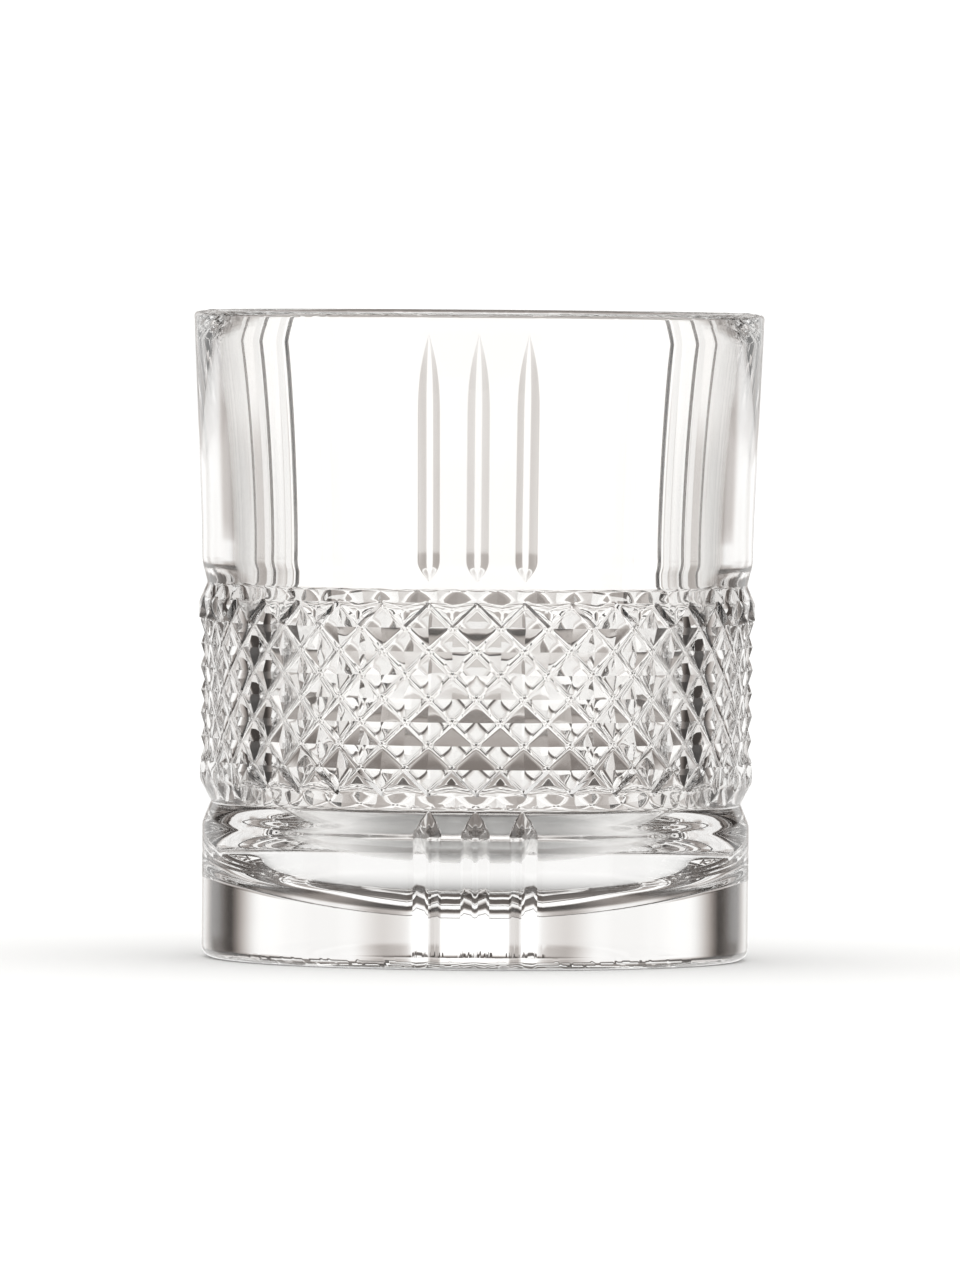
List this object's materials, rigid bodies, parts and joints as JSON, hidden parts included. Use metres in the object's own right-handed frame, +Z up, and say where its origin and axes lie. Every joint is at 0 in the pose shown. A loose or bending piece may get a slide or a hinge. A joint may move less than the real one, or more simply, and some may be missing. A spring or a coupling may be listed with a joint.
{
  "type": "whiskey tumbler",
  "caption": "Heavy-based straight drinking glass with a band of raised diamonds between two turned necks, upright V flutes in groups and a rounded, slightly flared rim.",
  "frame": {"origin": "centre of the foot, on the surface the glass stands on", "axes": "+Z up along the glass's axis of revolution, -Y towards the middle flute of the front group, +X to the right of someone looking along +Y"},
  "size_m": [0.083, 0.083, 0.094],
  "materials": {
    "clear_glass": "clear fire-polished pressed glass, neutral tint"
  },
  "bodies": {
    "root": {"glass_tumbler": "clear_glass"}
  },
  "joints": []
}
